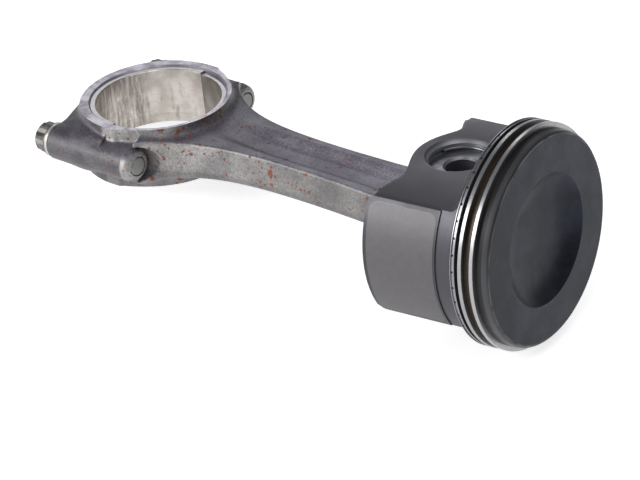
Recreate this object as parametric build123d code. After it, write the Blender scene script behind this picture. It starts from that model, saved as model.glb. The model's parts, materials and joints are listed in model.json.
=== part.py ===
"""Engine piston with its rings, wrist pin and connecting rod, lying as it rests on a flat surface.

Every piece is designed in the rod's own frame (mm): origin at the crankpin bore centre, +X along
the rod to the wrist pin, +Z along the crankpin axis. The piston is designed about the wrist pin,
+X to its crown. At the end the whole assembly is tilted about Y by LYING_TILT, so that the cap's
rim and the oil ring both stand on a level surface. The origin stays at the crankpin bore centre.
"""
import os
from math import asin, atan, cos, degrees, pi, radians, sin

from build123d import *

# Driving dimensions: piston
PISTON_R = 42.0
LAND_R = 41.8
CROWN_X = 35.7
CROWN_CHAMFER_X = 2.6
CROWN_CHAMFER_R = 0.4
CROWN_EDGE = 0.7
BOWL_R = 25.9
BOWL_FLOOR_R = 15.0
BOWL_DEPTH = 5.0
BELT_LOW_X = 19.2
SKIRT_TOP_X = 13.0
SKIRT_LOW_X = -19.1
SKIRT_HALF_Z = 24.6
SKIRT_CORNER_Y = 34.2
SKIRT_CORNER_CUT = 3.5
SKIRT_RELIEF = 0.25
BOSS_FACE_Z = 28.6
BOSS_FLAT_Y = 23.0
BOSS_R = 17.5
ARCH_LOW = (-17.0, 29.0)
ARCH_TOP = (-12.4, 19.5)
ARCH_ROUND = 7.0
CAVITY_R = 37.6
CAVITY_HALF_Z = 19.4
CAVITY_ROOF_X = 21.6
CAVITY_ROUND = 5.0
BOSS_GAP_HALF_Z = 11.6
BOSS_WEB_HALF_Y = 13.0

# Driving dimensions: rings, each by the place of its rod-side face and its height
RING_R = 43.76
RING_THICK = 3.3
GROOVE_BOTTOM_R = 37.6
GROOVE_SIDE_GAP = 0.06
RING_GAP_MM = 11.0
TOP_RING_X = 28.95
SECOND_RING_X = 24.0
OIL_RING_X = 20.57
COMPRESSION_RING_H = 1.6
OIL_RING_H = 2.0
OIL_RING_WEB_IN = 0.45
OIL_RING_WEB_BACK = 0.9
OIL_RING_LAND_H = 0.45
OIL_HOLES = 42
OIL_HOLE_R = 0.45
EXPANDER_R = 0.8
RING_EDGE = 0.15
TOP_RING_GAP_DEG = 20.0
SECOND_RING_GAP_DEG = -55.0
OIL_RING_GAP_DEG = -15.0

# Driving dimensions: wrist pin, clips and bush
PIN_R = 12.0
PIN_FIT = 0.02
PIN_HOLE_R = 6.0
PIN_HALF_LENGTH = 24.0
PIN_CHAMFER = 0.9
PIN_BORE_CHAMFER = 1.6
CLIP_WIRE_R = 0.8
CLIP_RING_R = 12.2
CLIP_Z = 24.95
CLIP_GAP_DEG = 50.0
CLIP_PRELOAD = 0.04
BUSH_WALL = 1.5
BUSH_INTERFERENCE = 0.02

# Driving dimensions: connecting rod and cap
ROD_LENGTH = 157.05
HOUSING_R = 27.2
SHELL_BORE_R = 25.0
BIG_END_HALF_Z = 12.55
ROD_RIM_R = 31.0
CAP_RIM_R = 31.4
CAP_BAND_R = 33.6
CAP_BAND_HALF_Z = 7.6
PAD_X = 5.5
PAD_Y = 31.3
BOLT_Y = 32.0
ROD_BOSS_R = 6.6
ROD_BOSS_X = 13.6
ROD_NOSE_X = 17.0
ROD_NOSE_CUT = 2.4
SPOT_FACE_R = 7.6
CAP_BOSS_R = 7.4
CAP_BOSS_X = 26.6
SHANK_HALF_Z = 7.6
SHOULDER = (19.0, 26.5)
SHANK_POINTS = ((30.0, 19.8), (39.0, 16.0), (53.0, 12.9), (70.0, 11.6), (92.0, 11.8), (120.0, 13.0))
SHANK_ROUND = 1.6
RECESS_START_X = 41.0
RECESS_END_X = 131.0
RECESS_HALF_Y = 8.2
RECESS_DEPTH = 3.4
RECESS_DRAFT_DEG = 35.0
SMALL_END_R = 18.5
SMALL_END_HALF_Z = 10.5
HOUSING_CHAMFER = 0.7

# Driving dimensions: cap bolts and bearing shells
BOLT_R = 4.0
BOLT_CLEARANCE_R = 4.4
BOLT_SHANK_R = 3.7
BOLT_TIP_X = 17.1
BOLT_FLANGE_R = 7.0
BOLT_FLANGE_H = 1.8
BOLT_HEAD_R = 6.2
BOLT_HEAD_H = 6.0
THREAD_OVERLAP = 0.05
ROD_SHELL_HALF_Z = 11.0
CAP_SHELL_HALF_Z = 11.8
SHELL_INTERFERENCE = 0.02
SHELL_EDGE = 0.4

# How the assembly lies: the piston is swung on its pin, and the whole is tilted about Y
PISTON_SWING_DEG = 6.86
FOOT_X = ROD_LENGTH + OIL_RING_X * cos(radians(PISTON_SWING_DEG)) + CAP_RIM_R
LYING_TILT = degrees(atan((RING_R - BIG_END_HALF_Z) / FOOT_X))

FAR = 80.0
LOW = (Align.CENTER, Align.CENTER, Align.MIN)
FROM_SPLIT = (Align.MIN, Align.CENTER, Align.CENTER)
TO_SPLIT = (Align.MAX, Align.CENTER, Align.CENTER)


def along_x(radius, x_low, x_high):
    """A cylinder about the X axis."""
    return Pos(x_low, 0, 0) * Rot(0, 90, 0) * Cylinder(radius, x_high - x_low, align=LOW)


def along_z(radius, z_low, z_high):
    """A cylinder about the Z axis."""
    return Pos(0, 0, z_low) * Cylinder(radius, z_high - z_low, align=LOW)


def both_bolts(shape):
    """The same shape on each of the two bolt axes."""
    return Pos(0, BOLT_Y, 0) * shape + Pos(0, -BOLT_Y, 0) * shape


def mirror_y(points):
    """The same (x, y) points on the other side of the X axis, in reverse order."""
    return [(x, -y) for x, y in reversed(points)]


def both_ends(shape):
    """A shape and its mirror image across the XY plane."""
    return shape + mirror(shape, about=Plane.XY)


# ---------------------------------------------------------------- piston

def turned_body():
    """The piston's outside as turned, with the crown bowl, from a half section about X."""
    chamfer_x = CROWN_X - CROWN_CHAMFER_X
    edge_r = LAND_R - CROWN_CHAMFER_R
    outline = Polyline(
        (BOWL_FLOOR_X, 0),
        (SKIRT_LOW_X, 0),
        (SKIRT_LOW_X, PISTON_R - SKIRT_RELIEF),
        (SKIRT_LOW_X + 4, PISTON_R),
        (SKIRT_TOP_X, PISTON_R),
        (SKIRT_TOP_X, LAND_R - SKIRT_RELIEF),
        (BELT_LOW_X, LAND_R - SKIRT_RELIEF),
        (BELT_LOW_X, LAND_R),
        (chamfer_x, LAND_R),
        (CROWN_X - CROWN_EDGE, edge_r),
        (CROWN_X, edge_r - CROWN_EDGE),
        (CROWN_X, BOWL_R),
    )
    wall = TangentArc((BOWL_FLOOR_X, BOWL_FLOOR_R), (CROWN_X, BOWL_R), tangent=(0, 1))
    floor = Line((BOWL_FLOOR_X, BOWL_FLOOR_R), (BOWL_FLOOR_X, 0))
    return revolve(make_face(outline + wall + floor), Axis.X)


def groove(x_low, height):
    """A ring groove: what a parting tool takes out of the ring belt."""
    start = x_low - GROOVE_SIDE_GAP
    end = x_low + height + GROOVE_SIDE_GAP
    return along_x(PISTON_R + 1, start, end) - along_x(GROOVE_BOTTOM_R, start - 1, end + 1)


def side_clearance():
    """What is missing at the two pin-boss sides, below the ring belt."""
    top = Pos(-FAR, 0, 0) * Rot(0, 90, 0)
    length = FAR + BELT_LOW_X
    corner = (SKIRT_HALF_Z, SKIRT_CORNER_Y)
    flat = (BOSS_FACE_Z, BOSS_FLAT_Y)
    section = Polyline(
        (FAR, FAR), (SKIRT_HALF_Z, FAR), corner, flat,
        (flat[0], -flat[1]), (corner[0], -corner[1]), (SKIRT_HALF_Z, -FAR), (FAR, -FAR),
        close=True,
    )
    cutter = top * extrude(make_face(section), length)
    return both_ends(cutter)


def arch_clearance():
    """The arches between the skirts and the pin bosses, seen along the pin."""
    half = [(SKIRT_LOW_X, SKIRT_CORNER_Y - 0.4), ARCH_LOW, ARCH_TOP]
    outline = Polyline(
        *half, *mirror_y(half), (SKIRT_LOW_X, -FAR), (FAR, -FAR), (FAR, FAR), (SKIRT_LOW_X, FAR),
        close=True,
    )
    wall = make_face(outline) + Circle(BOSS_R)
    inner_corners = wall.vertices().filter_by_position(Axis.X, ARCH_TOP[0] - 0.01, ARCH_TOP[0] + 0.01)
    wall = fillet(inner_corners, ARCH_ROUND)
    below = Rectangle(FAR + BELT_LOW_X, 3 * FAR, align=(Align.MIN, Align.CENTER))
    return extrude(Pos(-FAR, 0, 0) * below - wall, FAR, both=True)


def skirt_corner_cuts():
    """The chamfered lower corners of the two skirts."""
    cut = SKIRT_CORNER_CUT
    corner = Polyline(
        (SKIRT_LOW_X - 1, SKIRT_HALF_Z + 1),
        (SKIRT_LOW_X - 1, SKIRT_HALF_Z - cut),
        (SKIRT_LOW_X + cut, SKIRT_HALF_Z + 1),
        close=True,
    )
    cutter = extrude(make_face(Plane.XZ * corner), FAR, both=True)
    cutter = cutter - Box(FAR, 2 * ARCH_LOW[1], FAR)
    return both_ends(cutter)


def cavity():
    """The hollow under the crown, without the inner pin bosses and their webs."""
    block = Pos(CAVITY_ROOF_X, 0, 0) * Box(FAR, 2 * FAR, 2 * CAVITY_HALF_Z, align=TO_SPLIT)
    room = block & along_x(CAVITY_R, -FAR, FAR)
    room = fillet(room.faces().sort_by(Axis.X)[-1].edges(), CAVITY_ROUND)
    boss = along_z(BOSS_R, BOSS_GAP_HALF_Z, FAR)
    boss_web = Pos(0, 0, BOSS_GAP_HALF_Z) * Box(
        FAR, 2 * BOSS_WEB_HALF_Y, FAR, align=(Align.MIN, Align.CENTER, Align.MIN)
    )
    return room - both_ends(boss + boss_web)


def pin_bore():
    """The pin bore with its chamfers and the two circlip grooves."""
    bore = along_z(PIN_R, -FAR, FAR)
    mouth = Pos(0, 0, BOSS_FACE_Z - PIN_BORE_CHAMFER) * Cone(
        PIN_R, PIN_R + 2 * PIN_BORE_CHAMFER, 2 * PIN_BORE_CHAMFER, align=LOW
    )
    clip_groove = Pos(0, 0, CLIP_Z) * Torus(CLIP_RING_R, CLIP_WIRE_R)
    return bore + both_ends(mouth + clip_groove)


def make_piston():
    body = turned_body()
    for x_low, height in RINGS.values():
        body = body - groove(x_low, height)
    body = body - side_clearance()
    body = body - arch_clearance()
    body = body - skirt_corner_cuts()
    body = body - cavity()
    return body - pin_bore()


# ---------------------------------------------------------------- rings

def ring_gap(angle_deg, x_low, height):
    """The wedge taken out of a ring between its two ends."""
    half = degrees(asin(RING_GAP_MM / 2 / RING_R))
    wedge = Polyline(
        (0, 0),
        (FAR * cos(radians(-half)), FAR * sin(radians(-half))),
        (FAR * cos(radians(half)), FAR * sin(radians(half))),
        close=True,
    )
    cutter = extrude(make_face(Plane.YZ * wedge), height + 2)
    return Pos(x_low - 1, 0, 0) * Rot(angle_deg, 0, 0) * cutter


def ring_blank(x_low, height):
    """A plain ring with broken outer edges."""
    blank = along_x(RING_R, x_low, x_low + height)
    blank = blank - along_x(RING_R - RING_THICK, x_low - 1, x_low + height + 1)
    rims = blank.edges().filter_by(GeomType.CIRCLE).sort_by(SortBy.RADIUS)[-2:]
    return chamfer(rims, RING_EDGE)


def make_compression_ring(x_low, gap_deg):
    return ring_blank(x_low, COMPRESSION_RING_H) - ring_gap(gap_deg, x_low, COMPRESSION_RING_H)


def make_oil_ring():
    """An I-section ring: two lands, a web with drain holes, and a seat for the coil spring."""
    x_low = OIL_RING_X
    x_mid = x_low + OIL_RING_H / 2
    half_web = OIL_RING_H / 2 - OIL_RING_LAND_H
    front = along_x(RING_R + 1, x_mid - half_web, x_mid + half_web)
    front = front - along_x(RING_R - OIL_RING_WEB_IN, x_low - 1, x_low + 4)
    seat = Pos(x_mid, 0, 0) * Rot(0, 90, 0) * Torus(RING_R - RING_THICK, EXPANDER_R)
    ring = ring_blank(x_low, OIL_RING_H) - front - seat
    drill = Pos(x_mid, 0, 0) * Cylinder(OIL_HOLE_R, RING_R + 1, align=LOW)
    step = 360 / OIL_HOLES
    holes = [Rot(OIL_RING_GAP_DEG + step * (k + 0.5), 0, 0) * drill for k in range(OIL_HOLES)]
    ring = ring - holes
    return ring - ring_gap(OIL_RING_GAP_DEG, x_low, OIL_RING_H)


def make_expander():
    """The coil spring behind the oil ring, as the closed tube that its turns fill."""
    x_mid = OIL_RING_X + OIL_RING_H / 2
    return Pos(x_mid, 0, 0) * Rot(0, 90, 0) * Torus(RING_R - RING_THICK, EXPANDER_R - 0.03)


# ---------------------------------------------------------------- wrist pin, clips and bush

def make_wrist_pin():
    pin = along_z(PIN_R - PIN_FIT, -PIN_HALF_LENGTH, PIN_HALF_LENGTH)
    pin = pin - along_z(PIN_HOLE_R, -FAR, FAR)
    return chamfer(pin.edges().filter_by(GeomType.CIRCLE), PIN_CHAMFER)


def make_circlip():
    """A round-wire clip with an opening towards the skirt."""
    wire = Pos(0, 0, CLIP_Z) * Torus(CLIP_RING_R + CLIP_PRELOAD, CLIP_WIRE_R)
    half = radians(CLIP_GAP_DEG / 2)
    reach_x = -FAR * cos(half)
    reach_y = FAR * sin(half)
    wedge = Polyline((0, 0), (reach_x, -reach_y), (reach_x, reach_y), close=True)
    return wire - extrude(make_face(wedge), FAR)


def make_bush():
    outer = along_z(PIN_R + BUSH_WALL + BUSH_INTERFERENCE, -SMALL_END_HALF_Z, SMALL_END_HALF_Z)
    return outer - along_z(PIN_R, -FAR, FAR)


# ---------------------------------------------------------------- connecting rod and cap

def bolt_boss(radius, x_low, x_high):
    """Both bolt bosses over a stretch of X, each joined to the middle by a flat block."""
    round_part = along_x(radius, x_low, x_high)
    block = Pos(x_low, 0, 0) * Box(x_high - x_low, 2 * BOLT_Y, 2 * ROD_BOSS_R, align=FROM_SPLIT)
    return both_bolts(round_part) + block


def bolt_noses():
    """The tapered ends of the rod's bolt bosses."""
    nose = along_x(ROD_BOSS_R, ROD_BOSS_X - 1, ROD_NOSE_X)
    nose = chamfer(nose.edges().sort_by(Axis.X)[-1], ROD_NOSE_CUT)
    return both_bolts(nose)


def shank():
    """The shank and shoulders: one outline, tapering from the big end, with rounded edges."""
    half = [SHOULDER, *SHANK_POINTS]
    upper = Spline(half)
    lower = Spline(mirror_y(half))
    end = Line(upper @ 1, lower @ 0)
    shoulder_x, shoulder_y = SHOULDER
    start = Polyline(lower @ 1, (5.0, -shoulder_y), (5.0, shoulder_y), upper @ 0)
    body = extrude(make_face(upper + end + lower + start), SHANK_HALF_Z, both=True)
    long_edges = body.edges().filter_by(GeomType.BSPLINE)
    return fillet(long_edges, SHANK_ROUND)


def web_recess():
    """The I-beam hollow in one face of the shank: a long slot with sloping sides."""
    length = RECESS_END_X - RECESS_START_X
    middle_x = (RECESS_START_X + RECESS_END_X) / 2
    outline = Pos(middle_x, 0, SHANK_HALF_Z) * SlotOverall(length, 2 * RECESS_HALF_Y)
    return extrude(outline, -RECESS_DEPTH, taper=RECESS_DRAFT_DEG)


def half_space(sign):
    """Everything on one side of the split plane."""
    align = FROM_SPLIT if sign > 0 else TO_SPLIT
    return Box(4 * FAR, 2 * FAR, 2 * FAR, align=align)


def housing_bore():
    """The big-end bore with a chamfer at each face."""
    mouth = Pos(0, 0, BIG_END_HALF_Z - HOUSING_CHAMFER) * Cone(
        HOUSING_R, HOUSING_R + 2 * HOUSING_CHAMFER, 2 * HOUSING_CHAMFER, align=LOW
    )
    return along_z(HOUSING_R, -FAR, FAR) + both_ends(mouth)


def bolt_holes(radius, x_low, x_high):
    """Both bolt holes over a stretch of X."""
    return both_bolts(along_x(radius, x_low, x_high))


def make_connecting_rod():
    rim = along_z(ROD_RIM_R, -BIG_END_HALF_Z, BIG_END_HALF_Z)
    pads = Box(PAD_X, 2 * PAD_Y, 2 * BIG_END_HALF_Z, align=FROM_SPLIT)
    pads = fillet(pads.edges().filter_by(Axis.Z).sort_by(Axis.X)[-2:], 2.0)
    eye = Pos(ROD_LENGTH, 0, 0) * along_z(SMALL_END_R, -SMALL_END_HALF_Z, SMALL_END_HALF_Z)
    neck = Pos(SHANK_POINTS[-1][0], 0, 0) * Box(
        ROD_LENGTH - SHANK_POINTS[-1][0], 2 * SHANK_POINTS[-1][1], 2 * SHANK_HALF_Z, align=FROM_SPLIT
    )
    beam = shank() + neck - both_ends(web_recess()) - both_bolts(along_x(SPOT_FACE_R, ROD_BOSS_X, FAR / 2))
    rod = rim + pads + bolt_boss(ROD_BOSS_R, 0, ROD_BOSS_X) + bolt_noses() + beam + eye
    rod = rod & half_space(1)
    rod = rod - housing_bore()
    rod = rod - Pos(ROD_LENGTH, 0, 0) * along_z(PIN_R + BUSH_WALL, -FAR, FAR)
    return rod - bolt_holes(BOLT_R - THREAD_OVERLAP, -1, FAR / 2)


def make_rod_cap():
    rim = along_z(CAP_RIM_R, -BIG_END_HALF_Z, BIG_END_HALF_Z)
    band = along_z(CAP_BAND_R, -CAP_BAND_HALF_Z, CAP_BAND_HALF_Z)
    bosses = bolt_boss(CAP_BOSS_R, -CAP_BOSS_X, 0)
    cap = (rim + band + bosses) & half_space(-1)
    cap = cap - housing_bore()
    return cap - bolt_holes(BOLT_CLEARANCE_R, -FAR, 1)


def make_cap_bolt(side):
    """A cap bolt: flanged twelve-point head, reduced shank, threaded end."""
    seat = -CAP_BOSS_X
    flange_top = seat - BOLT_FLANGE_H
    head_top = flange_top - BOLT_HEAD_H
    flange = along_x(BOLT_FLANGE_R, flange_top, seat)
    hexagon = RegularPolygon(BOLT_HEAD_R, 6)
    points = extrude(hexagon + Rot(0, 0, 30) * hexagon, BOLT_HEAD_H)
    head = Pos(head_top, 0, 0) * Rot(0, 90, 0) * points
    top_r = BOLT_HEAD_R - 0.8
    crown = Cone(top_r, top_r + 2 * BOLT_HEAD_H, 2 * BOLT_HEAD_H, align=LOW)
    crown = Pos(head_top, 0, 0) * Rot(0, 90, 0) * crown
    head = head & crown
    shank_part = along_x(BOLT_SHANK_R, seat, 0)
    thread = along_x(BOLT_R, 0, BOLT_TIP_X)
    thread = chamfer(thread.edges().sort_by(Axis.X)[-1], 0.7)
    bolt = flange + head + shank_part + thread
    return Pos(0, side * BOLT_Y, 0) * bolt


def make_shell(sign, half_width):
    """Half of the big-end bearing, with a small chamfer at each end of its bore."""
    outer = along_z(HOUSING_R + SHELL_INTERFERENCE, -half_width, half_width)
    bore = along_z(SHELL_BORE_R, -FAR, FAR)
    mouth = Pos(0, 0, half_width - SHELL_EDGE) * Cone(
        SHELL_BORE_R, SHELL_BORE_R + 2 * SHELL_EDGE, 2 * SHELL_EDGE, align=LOW
    )
    return (outer - bore - both_ends(mouth)) & half_space(sign)


# ---------------------------------------------------------------- assembly

BOWL_FLOOR_X = CROWN_X - BOWL_DEPTH
RINGS = {
    "top_ring": (TOP_RING_X, COMPRESSION_RING_H),
    "second_ring": (SECOND_RING_X, COMPRESSION_RING_H),
    "oil_ring": (OIL_RING_X, OIL_RING_H),
}

on_pin = Pos(ROD_LENGTH, 0, 0)
in_piston = on_pin * Rot(0, 0, PISTON_SWING_DEG)
lying = Rot(0, -LYING_TILT, 0)

circlip = make_circlip()
pieces = {
    "piston": in_piston * make_piston(),
    "top_ring": in_piston * make_compression_ring(TOP_RING_X, TOP_RING_GAP_DEG),
    "second_ring": in_piston * make_compression_ring(SECOND_RING_X, SECOND_RING_GAP_DEG),
    "oil_ring": in_piston * make_oil_ring(),
    "oil_ring_expander": in_piston * make_expander(),
    "wrist_pin": on_pin * make_wrist_pin(),
    "upper_circlip": in_piston * circlip,
    "lower_circlip": in_piston * mirror(circlip, about=Plane.XY),
    "small_end_bush": on_pin * make_bush(),
    "connecting_rod": make_connecting_rod(),
    "rod_cap": make_rod_cap(),
    "rod_bearing_shell": make_shell(1, ROD_SHELL_HALF_Z),
    "cap_bearing_shell": make_shell(-1, CAP_SHELL_HALF_Z),
    "near_cap_bolt": make_cap_bolt(-1),
    "far_cap_bolt": make_cap_bolt(1),
}

os.makedirs("parts", exist_ok=True)
for name, piece in pieces.items():
    export_step(lying * piece, f"parts/{name}.step")
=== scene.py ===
"""The piston and connecting-rod assembly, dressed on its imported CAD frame.

The two forgings and the cast piston are meshed from distance fields, whose smooth unions give the
forged and cast fillets, and are then machined with booleans. Every other piece keeps its CAD mesh
and gets a finish.
Sizes in the pieces' own frames are in millimetres; each frame's matrix takes them to metres.
"""
import json
from math import cos, pi, radians, sin

import bpy
import numpy as np
from mathutils import Matrix, Vector


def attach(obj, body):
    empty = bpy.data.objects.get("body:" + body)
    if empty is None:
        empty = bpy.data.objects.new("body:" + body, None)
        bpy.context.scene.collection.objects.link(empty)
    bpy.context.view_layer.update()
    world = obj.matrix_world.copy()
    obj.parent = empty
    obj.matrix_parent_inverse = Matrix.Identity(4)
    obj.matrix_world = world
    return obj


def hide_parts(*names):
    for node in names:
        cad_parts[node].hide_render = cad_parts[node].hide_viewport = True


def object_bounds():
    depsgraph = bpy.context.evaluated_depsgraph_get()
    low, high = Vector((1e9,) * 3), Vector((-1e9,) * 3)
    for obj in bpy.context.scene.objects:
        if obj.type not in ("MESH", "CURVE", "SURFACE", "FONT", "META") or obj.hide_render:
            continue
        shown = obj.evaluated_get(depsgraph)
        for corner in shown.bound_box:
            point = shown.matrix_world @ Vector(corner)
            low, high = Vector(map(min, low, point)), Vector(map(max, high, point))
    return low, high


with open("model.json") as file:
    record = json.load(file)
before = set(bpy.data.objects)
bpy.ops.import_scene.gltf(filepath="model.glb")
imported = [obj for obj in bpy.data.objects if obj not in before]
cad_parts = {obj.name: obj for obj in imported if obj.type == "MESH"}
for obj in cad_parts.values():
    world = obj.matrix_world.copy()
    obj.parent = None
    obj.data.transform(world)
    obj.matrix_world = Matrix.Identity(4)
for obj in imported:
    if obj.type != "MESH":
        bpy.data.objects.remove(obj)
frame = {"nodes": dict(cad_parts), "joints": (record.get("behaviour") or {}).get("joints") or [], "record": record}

CAD_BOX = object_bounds()
MM = 0.001

# ---------------------------------------------------------------- frames

MOUNTS = {mount["name"]: mount for mount in frame["record"]["mounts"]}
JOINTS = {joint["name"]: joint for joint in frame["joints"]}
CRANK_AXIS = Vector(MOUNTS["crankpin_bore"]["axis"]).normalized()
PIN_CENTRE = Vector(JOINTS["piston_swing"]["pos_m"])
PISTON_AXIS = Vector(JOINTS["top_ring_turn"]["axis"]).normalized()
ROD_LENGTH = PIN_CENTRE.length / MM


def local_frame(origin, x_axis):
    """The matrix from a piece's own millimetres, Z along the crankpin axis, to the row's metres."""
    y_axis = CRANK_AXIS.cross(x_axis)
    turn = Matrix((x_axis, y_axis, CRANK_AXIS)).transposed().to_4x4()
    return Matrix.Translation(origin) @ turn @ Matrix.Scale(MM, 4)


ROD = local_frame(Vector((0, 0, 0)), PIN_CENTRE.normalized())
PISTON = local_frame(PIN_CENTRE, PISTON_AXIS)
PIN = local_frame(PIN_CENTRE, PIN_CENTRE.normalized())

# ---------------------------------------------------------------- sizes (mm), as in the CAD model

PISTON_R = 42.0
LAND_R = 41.8
CROWN_X = 35.7
CROWN_CHAMFER_X = 2.6
CROWN_CHAMFER_R = 0.4
CROWN_EDGE = 0.7
BOWL_R = 25.9
BOWL_FLOOR_R = 15.0
BOWL_DEPTH = 5.0
BELT_LOW_X = 19.2
SKIRT_TOP_X = 13.0
SKIRT_LOW_X = -19.1
SKIRT_HALF_Z = 24.6
SKIRT_CORNER_Y = 34.2
SKIRT_CORNER_CUT = 3.5
SKIRT_RELIEF = 0.25
BOSS_FACE_Z = 28.6
BOSS_FLAT_Y = 23.0
BOSS_R = 17.5
ARCH_TOP_X = -12.4
CAVITY_R = 37.6
CAVITY_HALF_Z = 19.4
CAVITY_ROOF_X = 21.6
BOSS_GAP_HALF_Z = 11.6
BOSS_WEB_HALF_Y = 13.0
PIN_R = 12.0
PIN_BORE_CHAMFER = 1.6
CLIP_WIRE_R = 0.8
CLIP_RING_R = 12.2
CLIP_Z = 24.95
GROOVE_BOTTOM_R = 37.6
GROOVE_SIDE_GAP = 0.06
RING_GROOVES = ((20.57, 2.0), (24.0, 1.6), (28.95, 1.6))
HOUSING_R = 27.2
HOUSING_CHAMFER = 0.7
BIG_END_HALF_Z = 12.55
ROD_RIM_R = 31.0
CAP_RIM_R = 31.4
CAP_BAND_R = 33.6
PAD_X = 5.5
PAD_Y = 31.3
BOLT_Y = 32.0
BOLT_R = 4.0
ROD_BOSS_R = 6.6
ROD_BOSS_X = 13.6
ROD_NOSE_X = 17.0
SPOT_FACE_R = 7.6
CAP_BOSS_R = 7.4
CAP_BOSS_X = 26.6
SHANK_HALF_Z = 7.6
SMALL_END_R = 18.5
SMALL_END_HALF_Z = 10.5
BUSH_OUT_R = 13.5
ROD_SHELL_HALF_Z = 11.0
CAP_SHELL_HALF_Z = 11.8
BOLT_FLANGE_H = 1.8
BOLT_TIP_X = 17.1

# ---------------------------------------------------------------- sizes (mm) of the finer shapes only

# A STOCK is what a forging or casting carries before machining; a GRID is the step of its mesh.
BOX_MARGIN = 0.05
BORE_MARGIN = 0.05
SPLIT_STOCK = 1.5
FACE_STOCK = 1.0
REACH = 60.0
TURNING_STOCK = 1.5
BELT_MIDDLE_X = 29.0
CAP_BORE_GAP = 0.4
ROD_BORE_GAP = 0.05
FORGED_GRID = 0.62
CAST_GRID = 0.8
SLOPE_SCALE = 0.85
SHANK_HALF_Y = 11.3
SHANK_WAIST_X = 60.0
SHANK_FLARE = 0.00045
SHOULDER_X = 19.0
SHOULDER_Y = 15.2
SHOULDER_DECAY = 17.5
SHOULDER_Z = 1.5
SHOULDER_Z_DECAY = 12.0
HOLLOW_HALF_Y = 9.2
HOLLOW_DEPTH = 3.5
UPPER_EDGE_R = 1.1
LOWER_EDGE_R = 2.4
RIM_TRIM = 0.3
RIM_WAIST = 1.3
NOSE_EDGE_R = 2.6
PATCH_CENTRE_X = -2.8
PATCH_HALF_X = 11.4
PATCH_HALF_Z = 19.5
PATCH_CORNER_R = 3.35

# ---------------------------------------------------------------- fields and meshes


def union(a, b, blend):
    """Smooth union of two distance fields, with a fillet of about the blend size."""
    h = np.maximum(blend - np.abs(a - b), 0) / blend
    return np.minimum(a, b) - h * h * blend / 4


def common(a, b, blend):
    """Smooth intersection of two distance fields."""
    return -union(-a, -b, blend)


def rounded(inside_a, inside_b, radius):
    """Intersection of two fields with the edge between them rounded to a radius."""
    a = inside_a + radius
    b = inside_b + radius
    return np.hypot(np.maximum(a, 0), np.maximum(b, 0)) + np.minimum(np.maximum(a, b), 0) - radius


def rod_along(y, z, x, centre_y, radius, x_low, x_high, edge):
    """A cylinder along X with rounded ends."""
    side = np.hypot(y - centre_y, z) - radius
    ends = np.abs(x - (x_low + x_high) / 2) - (x_high - x_low) / 2
    return rounded(side, ends, edge)


def disc(x, y, z, radius, half_z, edge):
    """A flat cylinder along Z with rounded rims."""
    return rounded(np.hypot(x, y) - radius, np.abs(z) - half_z, edge)


def ease(x, low, high):
    """0 below low, 1 above high, and smooth between."""
    t = np.clip((x - low) / (high - low), 0, 1)
    return t * t * (3 - 2 * t)


def net_vertices(value):
    """One vertex per cell that the surface crosses: cell numbers, and places in grid steps."""
    cells = tuple(n - 1 for n in value.shape)
    total = np.zeros(cells + (3,), np.float32)
    count = np.zeros(cells, np.float32)
    for axis in range(3):
        u, v = (axis + 1) % 3, (axis + 2) % 3
        a = np.take(value, range(0, value.shape[axis] - 1), axis)
        b = np.take(value, range(1, value.shape[axis]), axis)
        crossed = (a < 0) != (b < 0)
        share = np.where(crossed, a / np.where(crossed, a - b, 1), 0)
        for du in (0, 1):
            for dv in (0, 1):
                part = [slice(None)] * 3
                part[u] = slice(du, du + cells[u])
                part[v] = slice(dv, dv + cells[v])
                here = crossed[tuple(part)]
                total[..., axis] += share[tuple(part)]
                total[..., u] += here * du
                total[..., v] += here * dv
                count += here
    active = np.argwhere(count > 0)
    places = active + total[count > 0] / count[count > 0][:, None]
    number = np.full(cells, -1, np.int64)
    number[count > 0] = np.arange(len(active))
    return number, places


def net_faces(value, number):
    """Quads round every grid edge that the surface crosses, facing outwards."""
    quads = []
    for axis in range(3):
        u, v = (axis + 1) % 3, (axis + 2) % 3
        inner = [slice(1, -1)] * 3
        inner[axis] = slice(0, -1)
        a = value[tuple(inner)] < 0
        inner[axis] = slice(1, None)
        b = value[tuple(inner)] < 0
        for starts_inside in (True, False):
            at = np.argwhere((a == starts_inside) & (b != starts_inside))
            corners = []
            for du, dv in ((0, 0), (1, 0), (1, 1), (0, 1)):
                cell = at.copy()
                cell[:, u] += du
                cell[:, v] += dv
                corners.append(number[tuple(cell.T)])
            if not starts_inside:
                corners.reverse()
            quads.append(np.stack(corners, 1))
    return np.concatenate(quads)


def onto_surface(points, field, step):
    """Moves points down the field's slope until they lie on its zero surface."""
    for _ in range(3):
        x, y, z = points.T
        here = field(x, y, z)
        slope = np.stack([
            field(x + step, y, z) - field(x - step, y, z),
            field(x, y + step, z) - field(x, y - step, z),
            field(x, y, z + step) - field(x, y, z - step),
        ], 1) / (2 * step)
        length = np.maximum((slope * slope).sum(1), 0.25)
        move = slope * (here / length)[:, None]
        points = points - np.clip(move, -step * 4, step * 4)
    return points


def mesh_of(points, faces):
    """A mesh from a list of points and a list of faces."""
    mesh = bpy.data.meshes.new("shape")
    mesh.from_pydata([tuple(p) for p in points], [], [tuple(f) for f in faces])
    mesh.validate()
    return mesh


def field_mesh(field, low, high, step):
    """The surface where a distance field is zero, as a closed quad mesh."""
    axes = [np.arange(a, b + step, step, dtype=np.float32) for a, b in zip(low, high)]
    value = field(*np.meshgrid(*axes, indexing="ij", sparse=True)).astype(np.float32)
    number, places = net_vertices(value)
    points = np.array(low) + places * step
    points = onto_surface(points, field, step * 0.2)
    return mesh_of(points, net_faces(value, number))


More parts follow.
